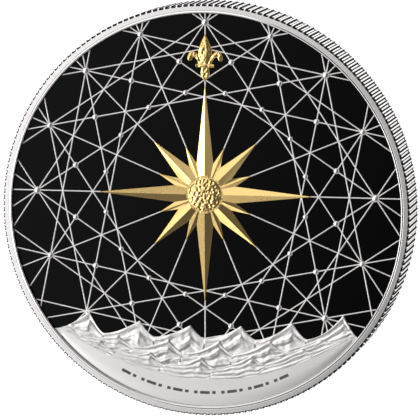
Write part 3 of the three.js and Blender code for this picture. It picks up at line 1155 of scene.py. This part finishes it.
def lily_sides():
    """The two sides of each petal, of the foot and of the band, for a lily one unit long."""
    rows = 56
    middle = (bezier((0, 0.2), (-0.1, 0.42), (-0.3, 0.5), (0, 1), rows),
              bezier((0, 0.2), (0.1, 0.42), (0.3, 0.5), (0, 1), rows))
    foot = (bezier((0, 0), (-0.14, 0.1), (-0.1, 0.18), (-0.08, 0.34), rows // 2),
            bezier((0, 0), (0.14, 0.1), (0.1, 0.18), (0.08, 0.34), rows // 2))
    band = (bezier((-0.2, 0.37), (-0.07, 0.38), (0.07, 0.38), (0.2, 0.37), rows // 2),
            bezier((-0.2, 0.29), (-0.07, 0.28), (0.07, 0.28), (0.2, 0.29), rows // 2))
    sides = [middle, foot, band]
    for side in (-1, 1):
        out = (side * LILY_HALF_WIDTH, 0.5)
        curl = (side * 0.28, 0.45)
        upper = bezier((side * 0.05, 0.33), (side * 0.1, 0.62), (side * 0.34, 0.76), out, rows)
        lower = bezier((side * 0.13, 0.33), (side * 0.17, 0.46), (side * 0.27, 0.58), curl, rows)
        cap = bezier(out, (side * 0.4, 0.43), (side * 0.33, 0.4), curl, 12)
        upper += cap[1:7]
        lower += list(reversed(cap))[1:7]
        sides.append((upper, lower) if side > 0 else (lower, upper))
    return sides


def cushion(left, right, low, high, sizes):
    """A petal between its two sides: round on top, with a low upright edge, and beaten all over."""
    across = 18
    widest = max((a - b).length for a, b in zip(left, right))
    rows = []
    for a, b in zip(left, right):
        full = math.sqrt((a - b).length / widest)
        row = []
        for i in range(across + 1):
            share = i / across
            place = a.lerp(b, share)
            arch = math.sqrt(max(0.0, 1 - (2 * share - 1) ** 2)) * full
            dent = sizes.hammer_depth * hammer_mark(place.x, place.y, sizes.hammer_pitch) * arch
            row.append((place.x, place.y, low + (high - low) * arch - dent))
        rows.append(row)
    return slab(rows, RELIEF_Z)


def make_lily(sizes):
    """The lily at the rose's north, as large as the frame says."""
    low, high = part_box("fleur_de_lis")
    wide = (high[0] - low[0]) / 2 / LILY_HALF_WIDTH
    length = high[1] - low[1]
    parts = []
    for sides, top in zip(lily_sides(), LILY_TOPS):
        left, right = [
            [Vector((point.x * wide, low[1] + point.y * length)) for point in side] for side in sides]
        parts.append(cushion(left, right, RELIEF_Z + LILY_EDGE, high[2] + top, sizes))
    points, faces = merged(parts)
    piece = mesh_object("lily", points, faces, [finish("Hammered gilding")])
    tidy_mesh(piece.data)
    shade(piece, 55)
    hand_over(piece, "hammered_gilding", "fleur_de_lis")


# The sea

# The outline of a crest: how hollow its back and its front are
BACK_HOLLOW = 1.7
FRONT_HOLLOW = 1.5

# The relief of a wave along the row: the share that its troughs keep, and how steeply it swells
TROUGH_SHARE = 0.3
BACK_SWELL = 1.4
FRONT_SWELL = 2.6
CREST_BEND = 0.9 * MM

# The relief of a wave from its foot (0) to its outline (1): a straight part, a hollow part, a worn lip
STRAIGHT_SHARE = 0.35
FACE_HOLLOW = 2.4
LIP_START = 0.94
LIP_DROP = 0.15

# The slow noise that bends the furrows and the quick noise that breaks them: each one's pitch along the
# row, how many of its cells lie between foot and outline, how far it is shifted from row to row, and
# its height as a share of the furrows'
WARP_PITCH = 1.3 * MM
WARP_CELLS = 2.4
WARP_SHIFT = 9
WARP_HEIGHT = 0.8
RIPPLE_PITCH = 0.45 * MM
RIPPLE_CELLS = 7
RIPPLE_SHIFT = 5
RIPPLE_HEIGHT = 0.45

# The furrows and a finer set over them: how far each leans along a wave and is bent by the slow noise,
# how many more the fine set has and its height as a share of the other's. A low wave has fewer furrows,
# down to a least share, and they fade at its foot and at its outline
FURROW_LEAN = 0.35
FURROW_BEND = 0.1
FINE_LEAN = 0.9
FINE_BEND = 0.14
FINE_COUNT = 2.6
FINE_HEIGHT = 0.3
LEAST_FURROWS = 0.3
FOOT_FADE = 0.2
OUTLINE_FADE = 0.12

# The furrows in the troughs have this share of their full depth
TROUGH_FURROWS = 0.35

# Near a wave's foot its lines run level, at this share of a middle crest's height above the troughs
LEVEL_SHARE = 0.3

# A row narrower than the full width is lower, and no row is narrower than the least
FULL_WIDTH = 1.5 * MM
LEAST_WIDTH = 0.05 * MM

# How high the tops of the smooth edge and of the first row's foot stand above the black field, the step
# from one row to the next, and the lift of each row
SMOOTH_TOP = 0.16 * MM
GROUND_LEVEL = 0.165 * MM
ROW_STEP = 0.03 * MM
ROW_LIFTS = (0.13 * MM, 0.18 * MM, 0.22 * MM)


def trough_line(x, share):
    """The height of the sea's troughs, between its first row (0) and the smooth edge (1)."""
    across = (x / SEA_HALF_WIDTH) ** 2
    top = SEA_TOP + SEA_TOP_RISE * across
    foot = SEA_FOOT + SEA_FOOT_RISE * across
    return top + share * (foot - top)


def crest(x, phase):
    """A crest that rises slowly from the left and falls steeply on the right, from 0 to 1."""
    part = (x / CREST_LENGTH + phase) % 1
    if part < CREST_SKEW:
        return (part / CREST_SKEW) ** BACK_HOLLOW
    return ((1 - part) / (1 - CREST_SKEW)) ** FRONT_HOLLOW


def row_top(row, x):
    """The outline of a row of waves."""
    across = (x / ROW_HALF_WIDTH) ** 2
    height = row["middle"] + (row["end"] - row["middle"]) * across
    return trough_line(x, row["share"]) + height * crest(x, row["phase"])


def wave_swell(part):
    """How high a wave stands along its length: its back swells up to the crest, its front falls off."""
    if part < CREST_SKEW:
        rise = (part / CREST_SKEW) ** BACK_SWELL
    else:
        rise = ((1 - part) / (1 - CREST_SKEW)) ** FRONT_SWELL
    return TROUGH_SHARE + (1 - TROUGH_SHARE) * rise


def wave_furrows(x, share, full, part, row, sizes):
    """How far the furrows and ripples of a wave stand above or below its swell."""
    warp = noise.noise(Vector((x / WARP_PITCH, share * WARP_CELLS, row["share"] * WARP_SHIFT)))
    ripple = noise.noise(Vector((x / RIPPLE_PITCH, share * RIPPLE_CELLS, row["share"] * RIPPLE_SHIFT)))
    count = sizes.furrows * (LEAST_FURROWS + (1 - LEAST_FURROWS) * full)
    furrow = math.sin(FULL_TURN * (count * (share + FURROW_BEND * warp) - FURROW_LEAN * part))
    fine_count = FINE_COUNT * sizes.furrows * full
    fine = math.sin(FULL_TURN * (fine_count * (share + FINE_BEND * warp) - FINE_LEAN * part))
    return sizes.furrow_depth * (
        furrow + WARP_HEIGHT * warp + RIPPLE_HEIGHT * ripple + FINE_HEIGHT * fine)


def wave_height(x, share, full, row, lift, sizes):
    """The relief of a wave at a share of the way from its foot to its outline."""
    bend = CREST_BEND * (1 - share) ** 1.5
    part = ((x + bend) / CREST_LENGTH + row["phase"]) % 1
    swell = wave_swell(part)
    face = STRAIGHT_SHARE * share + (1 - STRAIGHT_SHARE) * share ** FACE_HOLLOW
    lip = 1 - max(0.0, (share - LIP_START) / (1 - LIP_START)) ** 2 * LIP_DROP
    fade = min(1.0, share / FOOT_FADE) * min(1.0, (1 - share) / OUTLINE_FADE)
    depth = TROUGH_FURROWS + (1 - TROUGH_FURROWS) * swell
    rough = depth * wave_furrows(x, share, full, part, row, sizes)
    return lift * swell * face * lip + fade * rough


def wave_rows(row, half_width, foot, base, lift, sizes):
    """The top of a row of waves as rows of points: level lines at its foot, its outline at its crests."""
    rows = []
    for j in range(sizes.rows + 1):
        share = j / sizes.rows
        line = []
        for i in range(sizes.columns + 1):
            x = half_width * (2 * i / sizes.columns - 1)
            top = row_top(row, x)
            low = min(foot(x), top - LEAST_WIDTH)
            full = min(1.0, (top - low) / FULL_WIDTH)
            above = top - trough_line(x, row["share"]) - LEVEL_SHARE * row["middle"]
            level = (1 - share ** 1.5) * above * full ** 2
            y = low + share * (top - level - low)
            height = wave_height(x, share, full, row, lift, sizes)
            line.append((x, y, base + min(1.0, 2.5 * full) * height))
        rows.append(line)
    return rows


def ground_half_width(radius):
    """How far out the first row's outline still lies inside the field."""
    low = 0.9 * SEA_HALF_WIDTH
    high = 1.1 * SEA_HALF_WIDTH
    for _ in range(40):
        middle = (low + high) / 2
        if math.hypot(middle, row_top(GROUND_ROW, middle)) < radius:
            low = middle
        else:
            high = middle
    return low


def arc_y(x, radius):
    """The lower edge of a disc."""
    return -math.sqrt(max(0.0, radius ** 2 - x ** 2))


def sea_foot(x):
    """The line under which the silver is smooth."""
    least_sea = 0.08 * MM
    return min(trough_line(x, 1), trough_line(x, 0) - least_sea)


def make_sea(sizes, field_radius):
    """Three rows of waves, one in front of another."""
    radius = field_radius - GAP
    layout = (
        (GROUND_ROW, ground_half_width(radius), lambda x: max(sea_foot(x), arc_y(x, radius))),
        (MIDDLE_ROW, ROW_HALF_WIDTH, lambda x: trough_line(x, 0.9)),
        (FRONT_ROW, ROW_HALF_WIDTH, lambda x: trough_line(x, 1)),
    )
    slabs = []
    for i, (row, half_width, foot) in enumerate(layout):
        level = RELIEF_Z + GROUND_LEVEL + i * ROW_STEP
        slabs.append(slab(wave_rows(row, half_width, foot, level, ROW_LIFTS[i], sizes), RELIEF_Z))
    points, faces = merged(slabs)
    piece = mesh_object("sea_relief", points, faces, [finish("Frosted silver")])
    tidy_mesh(piece.data, 0)
    shade(piece, 50)
    hand_over(piece, "frosted_silver", "sea_ground", "sea_middle_row", "sea_front_row")


def mark_tree():
    """Cuts long and short marks along an arc into the smooth edge, and gives their insides the silver with
    painted shade.
    """
    tree, build, given, result = geometry_tree("Scale Marks", [
        ("Marks", "NodeSocketInt"), ("Mark Radius", "NodeSocketFloat"), ("Span", "NodeSocketFloat"),
        ("Long Mark", "NodeSocketVector"), ("Short Mark", "NodeSocketFloat"),
        ("Height", "NodeSocketFloat"), ("Material", "NodeSocketMaterial"),
        ("Mark Material", "NodeSocketMaterial")])
    last = build.math("SUBTRACT", given.outputs["Marks"], 1.0)
    index = build.add("GeometryNodeInputIndex").outputs[0]
    share = build.math("SUBTRACT", build.math("DIVIDE", index, last), 0.5)
    lean = build.math("MULTIPLY", share, given.outputs["Span"])
    x = build.math("MULTIPLY", build.math("SINE", lean), given.outputs["Mark Radius"])
    down = build.math("MULTIPLY", build.math("COSINE", lean), given.outputs["Mark Radius"])
    y = build.math("MULTIPLY", down, -1.0)
    place = build.add("ShaderNodeCombineXYZ", {0: x, 1: y, 2: given.outputs["Height"]})
    marks = build.add("GeometryNodePoints", {"Count": given.outputs["Marks"], "Position": place.outputs[0]})
    tool = build.add("GeometryNodeMeshCube", {"Size": given.outputs["Long Mark"]})
    rest = build.math("MODULO", index, 3.0)
    short = build.math("MINIMUM", rest, 1.0)
    less = build.math("SUBTRACT", 1.0, given.outputs["Short Mark"])
    width = build.math("SUBTRACT", 1.0, build.math("MULTIPLY", short, less))
    size = build.add("ShaderNodeCombineXYZ", {0: width, 1: 1.0, 2: 1.0})
    turn = build.add("ShaderNodeCombineXYZ", {0: 0.0, 1: 0.0, 2: lean})
    rotation = build.add("FunctionNodeEulerToRotation", {0: turn.outputs[0]})
    tools = build.add("GeometryNodeInstanceOnPoints", {
        "Points": marks.outputs[0], "Instance": tool.outputs[0], "Rotation": rotation.outputs[0],
        "Scale": size.outputs[0]})
    real = build.add("GeometryNodeRealizeInstances", {"Geometry": tools.outputs[0]})
    # Painted shade: the cut marks' insides take the dark silver
    painted_shade = build.add("GeometryNodeSetMaterial", {
        "Geometry": real.outputs[0], "Material": given.outputs["Mark Material"]})
    plain = build.add("GeometryNodeSetMaterial", {
        "Geometry": given.outputs[0], "Material": given.outputs["Material"]})
    cut = build.add(
        "GeometryNodeMeshBoolean", {"Mesh 2": painted_shade.outputs[0]}, operation="DIFFERENCE", solver="EXACT")
    tree.links.new(plain.outputs[0], cut.inputs["Mesh 1"])
    tree.links.new(cut.outputs["Mesh"], result.inputs[0])
    return tree


def smooth_rows(radius):
    """The top of the smooth edge, from the arc by the lip up to where the first row covers it."""
    columns = 220
    wide = ground_half_width(radius)
    overlap = 0.4 * MM
    least = 0.002 * MM
    rows = []
    for share, drop in ((0.0, GAP), (0.06, 0.0), (0.5, 0.0), (1.0, 0.0)):
        line = []
        for i in range(columns + 1):
            x = -wide * math.cos(math.pi * i / columns)
            low = arc_y(x, radius)
            high = max(low + least, min(sea_foot(x) + overlap, row_top(GROUND_ROW, x) - GAP))
            line.append((x, low + share * (high - low), RELIEF_Z + SMOOTH_TOP - drop))
        rows.append(line)
    return rows


def make_smooth_edge(sizes, field_radius):
    """The smooth silver under the sea, down to the lip. Its marks are cut in millimetres."""
    points, faces = slab(smooth_rows(field_radius - GAP), RELIEF_Z)
    piece = mesh_object("smooth_edge", points, faces, [finish("Satin silver"), finish("Silver with painted shade")])
    tidy_mesh(piece.data)
    grow = Matrix.Scale(WORK_SCALE, 4)
    piece.data.transform(grow)
    run_tree(piece, mark_tree(), {
        "Marks": sizes.marks, "Mark Radius": sizes.mark_radius * WORK_SCALE, "Span": sizes.mark_span,
        "Long Mark": Vector((sizes.mark_length, sizes.mark_width, 2 * sizes.mark_depth)) * WORK_SCALE,
        "Short Mark": sizes.short_mark, "Height": (RELIEF_Z + SMOOTH_TOP) * WORK_SCALE,
        "Material": finish("Satin silver"), "Mark Material": finish("Silver with painted shade")})
    piece.data.transform(grow.inverted())
    shade(piece, 30)
    hand_over(piece, "frosted_silver", "sea_ground")


# The reverse

def make_rosette(sizes):
    """An engine-turned rosette on the reverse, facing down, whose waves sway once for each wind."""
    columns = 320
    rings = 60
    waves = 7
    reach_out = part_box("reverse_star")[1][0]
    ground = sizes.reverse_depth
    plate = 0.05 * MM
    wave_depth = 0.13 * MM
    profile = [(0, ground), (reach_out, ground)]
    profile += [(reach_out * (1 - (i / rings)), ground - plate) for i in range(rings)]
    profile.append((0, ground - plate))
    points, faces = turned(profile, columns)
    shaped = []
    for x, y, z in points:
        share = math.hypot(x, y) / reach_out
        sway = 0.5 * math.sin(WINDS * math.atan2(y, x)) * share
        wave = 0.5 + 0.5 * math.cos(FULL_TURN * (waves * share + sway))
        swell = min(1.0, 4 * (1 - share)) * min(1.0, 3 * share)
        on_face = z < ground - plate / 2
        shaped.append((x, y, z - wave_depth * wave * swell if on_face else z))
    piece = mesh_object("reverse_rosette", shaped, faces, [finish("Frosted silver")])
    tidy_mesh(piece.data)
    shade(piece, 50)
    hand_over(piece, "frosted_silver", "reverse_star")


def make_ring(sizes):
    """The plain ring round the rosette."""
    box_low, box_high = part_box("reverse_ring")
    width = 0.8 * MM
    outer = box_high[0]
    inner = outer - width
    low = box_low[2]
    ground = sizes.reverse_depth
    soft = 2 * SOFT
    section = [
        (inner, ground), (inner, low + soft), (inner + soft, low), (outer - soft, low),
        (outer, low + soft), (outer, ground), (inner, ground)]
    points, faces = turned(section, 240)
    ring = mesh_object("reverse_circle", points, faces, [finish("Frosted silver")])
    tidy_mesh(ring.data)
    shade(ring, 30)
    hand_over(ring, "frosted_silver", "reverse_ring")


# The stage

# The direction from the face to the camera, and how far the middle of the picture lies to the right of the
# face's middle and above it
CAMERA_SIDE = (0.1935, 0.1305, 0.972)
FRAMING_RIGHT = 0.55 * MM
FRAMING_UP = 0.31 * MM

# The place and the side of the square key light, in metres
KEY_PLACE = (-0.6, -0.15, 0.6)
KEY_SIZE = 0.4

# The bright side of the surround lies this way. Its sides fade away from the first height of a direction
# down to the second
BRIGHT_SIDE = (-0.95, 0.3, 0.0)
SIDES_FROM = 0.6
SIDES_TO = 0.35

# The floor's half width in metres, its grey, and how strongly it glows
FLOOR_REACH = 3.0
FLOOR_GREY = 0.6
FLOOR_GLOW = 0.9


def look_at(thing, target, up=(0, 1, 0)):
    """Turn a camera or light at its place towards a point, with an upward direction in the picture."""
    back = (Vector(thing.location) - Vector(target)).normalized()
    upward = Vector(up) - back * back.dot(Vector(up))
    upward.normalize()
    right = upward.cross(back)
    turn = Matrix((right, upward, back)).transposed()
    thing.rotation_euler = turn.to_euler()


def make_key(power):
    """A soft square light that faces the coin."""
    light = bpy.data.lights.new("Key", "AREA")
    light.shape = "SQUARE"
    light.size = KEY_SIZE
    light.energy = power
    lamp = bpy.data.objects.new("Key", light)
    lamp.location = KEY_PLACE
    bpy.context.scene.collection.objects.link(lamp)
    look_at(lamp, (0, 0, COIN_THICKNESS))


def make_floor():
    """A plain pale floor that glows a little, so that it stays as bright as the backdrop."""
    reach_out = FLOOR_REACH
    points = [
        (-reach_out, -reach_out, 0), (reach_out, -reach_out, 0), (reach_out, reach_out, 0),
        (-reach_out, reach_out, 0)]
    material = bpy.data.materials.new("Pale floor")
    material.use_nodes = True
    shader = material.node_tree.nodes["Principled BSDF"]
    shader.inputs["Base Color"].default_value = (FLOOR_GREY, FLOOR_GREY, FLOOR_GREY, 1)
    shader.inputs["Roughness"].default_value = 0.9
    shader.inputs["Specular IOR Level"].default_value = 0.1
    shader.inputs["Emission Color"].default_value = (1, 1, 1, 1)
    shader.inputs["Emission Strength"].default_value = FLOOR_GLOW
    mesh_object("floor", points, [[0, 1, 2, 3]], [material])


def make_camera(stage):
    """The camera looks down on the face, from a little above its upper right."""
    away = Vector(CAMERA_SIDE).normalized()
    upward = (Vector((0, 1, 0)) - away * away.y).normalized()
    right = upward.cross(away)
    target = Vector((0, 0, COIN_THICKNESS)) + right * FRAMING_RIGHT + upward * FRAMING_UP
    data = bpy.data.cameras.new("Camera")
    data.lens = stage.lens
    data.clip_start = 0.01
    data.clip_end = 20
    camera = bpy.data.objects.new("Camera", data)
    camera.location = target + away * stage.distance
    bpy.context.scene.collection.objects.link(camera)
    look_at(camera, target)
    bpy.context.scene.camera = camera


def make_surround(stage):
    """A white backdrop, in place of which the coin mirrors a bright upper left and a dim lower right.

    Near the horizon both sides fade into one even strength.
    """
    world = bpy.data.worlds.new("Studio")
    world.use_nodes = True
    tree = world.node_tree
    build = NodeTree(tree)
    direction = build.add("ShaderNodeTexCoord").outputs["Generated"]
    side = build.add("ShaderNodeVectorMath", {0: direction, 1: BRIGHT_SIDE}, operation="DOT_PRODUCT")
    mirrored = build.add("ShaderNodeMapRange", {
        "Value": side.outputs["Value"], "From Min": stage.shade_start, "From Max": stage.shade_end,
        "To Min": stage.sky_dark, "To Max": stage.sky_light})
    height = build.add("ShaderNodeSeparateXYZ", {0: direction}).outputs[2]
    raised = build.add("ShaderNodeMapRange", {"Value": height, "From Min": SIDES_TO, "From Max": SIDES_FROM})
    around = build.add("ShaderNodeMix", {
        0: raised.outputs["Result"], 2: stage.sky_low, 3: mirrored.outputs["Result"]}, data_type="FLOAT")
    seen = build.add("ShaderNodeLightPath").outputs["Is Camera Ray"]
    strength = build.math("MAXIMUM", around.outputs[0], seen)
    back = tree.nodes["Background"]
    back.inputs["Color"].default_value = (1, 1, 1, 1)
    tree.links.new(strength, back.inputs["Strength"])
    bpy.context.scene.world = world


def make_stage(stage):
    """The camera, the floor, the surround and the key light."""
    make_camera(stage)
    make_floor()
    make_surround(stage)
    make_key(stage.key_power)
    bpy.context.scene.view_settings.view_transform = "Standard"


# Operators and the panel

class COIN_OT_blank(bpy.types.Operator):
    """Make the silver blank with its rim and reeded edge, and the black plating in its field"""

    bl_idname = "coin.blank"
    bl_label = "Blank and Plating"

    def execute(self, context):
        make_blank(context.scene.coin_blank)
        make_plating(context.scene.coin_blank)
        return {"FINISHED"}


class COIN_OT_chart(bpy.types.Operator):
    """Make the net of raised silver lines and the beads on its crossings"""

    bl_idname = "coin.chart"
    bl_label = "Chart Lines and Beads"

    def execute(self, context):
        make_lines(context.scene.coin_chart, context.scene.coin_rose)
        make_beads(context.scene.coin_chart)
        return {"FINISHED"}


class COIN_OT_rose(bpy.types.Operator):
    """Make the gilt compass rose, the dome on its hub and the lily at its north"""

    bl_idname = "coin.rose"
    bl_label = "Compass Rose"

    def execute(self, context):
        make_rose(context.scene.coin_rose)
        make_dome(context.scene.coin_rose)
        make_lily(context.scene.coin_rose)
        return {"FINISHED"}


class COIN_OT_sea(bpy.types.Operator):
    """Make the frosted rows of waves and the smooth edge with its marks"""

    bl_idname = "coin.sea"
    bl_label = "Sea and Smooth Edge"

    def execute(self, context):
        make_sea(context.scene.coin_sea, context.scene.coin_blank.field_radius)
        make_smooth_edge(context.scene.coin_sea, context.scene.coin_blank.field_radius)
        return {"FINISHED"}


class COIN_OT_reverse(bpy.types.Operator):
    """Make the engine-turned rosette and the ring on the reverse"""

    bl_idname = "coin.reverse"
    bl_label = "Reverse"

    def execute(self, context):
        make_rosette(context.scene.coin_blank)
        make_ring(context.scene.coin_blank)
        return {"FINISHED"}


class COIN_OT_stage(bpy.types.Operator):
    """Make the floor, the camera and the lights"""

    bl_idname = "coin.stage"
    bl_label = "Stage"

    def execute(self, context):
        make_stage(context.scene.coin_stage)
        return {"FINISHED"}


class COIN_PT_maker(bpy.types.Panel):
    """Lists what makes the coin"""

    bl_label = "Collector's Coin"
    bl_idname = "COIN_PT_maker"
    bl_space_type = "VIEW_3D"
    bl_region_type = "UI"
    bl_category = "Coin"

    def draw(self, context):
        for operator in OPERATORS:
            self.layout.operator(operator.bl_idname)
        for name in SETTINGS:
            box = self.layout.box()
            settings = getattr(context.scene, name)
            for prop in settings.bl_rna.properties:
                if prop.identifier not in {"rna_type", "name"}:
                    box.prop(settings, prop.identifier)


OPERATORS = (COIN_OT_blank, COIN_OT_chart, COIN_OT_rose, COIN_OT_sea, COIN_OT_reverse, COIN_OT_stage)
SETTINGS = {
    "coin_blank": BlankSizes,
    "coin_chart": ChartSizes,
    "coin_rose": RoseSizes,
    "coin_sea": SeaSizes,
    "coin_finishes": Finishes,
    "coin_stage": StageSettings,
}


def register():
    for group in SETTINGS.values():
        bpy.utils.register_class(group)
    for name, group in SETTINGS.items():
        setattr(bpy.types.Scene, name, bpy.props.PointerProperty(type=group))
    for operator in OPERATORS:
        bpy.utils.register_class(operator)
    bpy.utils.register_class(COIN_PT_maker)


def unregister():
    bpy.utils.unregister_class(COIN_PT_maker)
    for operator in reversed(OPERATORS):
        bpy.utils.unregister_class(operator)
    for name, group in SETTINGS.items():
        delattr(bpy.types.Scene, name)
        bpy.utils.unregister_class(group)


def main():
    register()
    bpy.ops.coin.blank()
    bpy.ops.coin.chart()
    bpy.ops.coin.rose()
    bpy.ops.coin.sea()
    bpy.ops.coin.reverse()
    bpy.ops.coin.stage()


if __name__ == "__main__":
    main()
